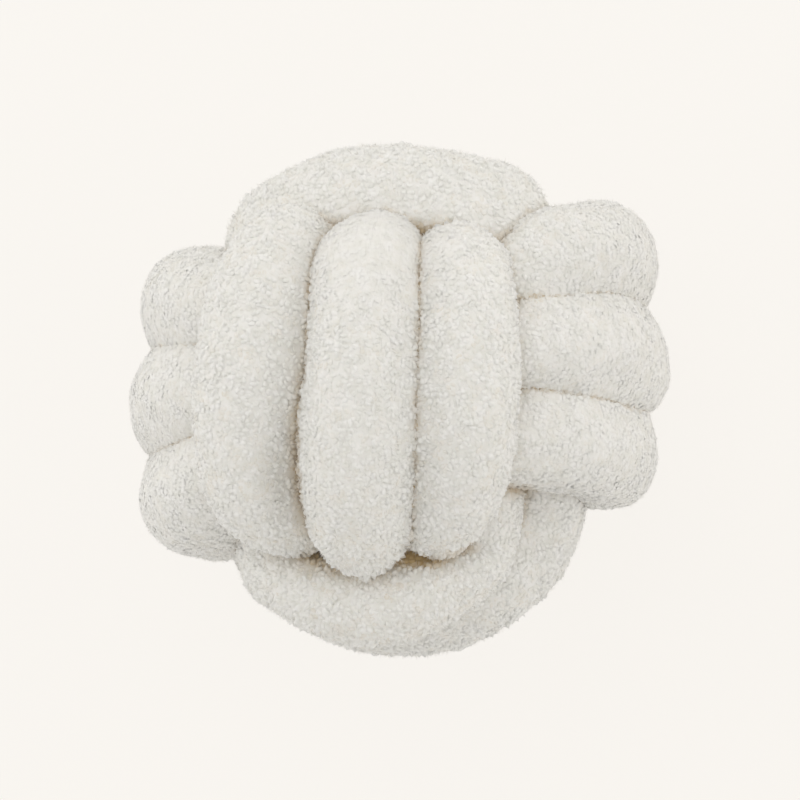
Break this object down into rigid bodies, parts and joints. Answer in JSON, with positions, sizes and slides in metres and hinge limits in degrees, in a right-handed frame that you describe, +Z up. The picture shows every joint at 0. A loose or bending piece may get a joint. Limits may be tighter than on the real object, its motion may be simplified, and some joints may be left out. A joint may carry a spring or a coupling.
{
  "type": "knotted throw cushion",
  "caption": "Ball-shaped throw cushion: one long filled tube of ivory looped fleece tied into a tight round knot, with its ends tucked in.",
  "frame": {"origin": "on the surface that the cushion lies on, at the middle of its footprint", "axes": "+Z up, out of the face that is seen, +X along the widest way across, +Y towards the upper end of the face"},
  "size_m": [0.281, 0.2624, 0.264],
  "materials": {
    "looped_fleece": "matt ivory looped pile, soft and fuzzy, without print or pattern"
  },
  "bodies": {
    "root": {"knotted_tube": "looped_fleece"}
  },
  "joints": []
}
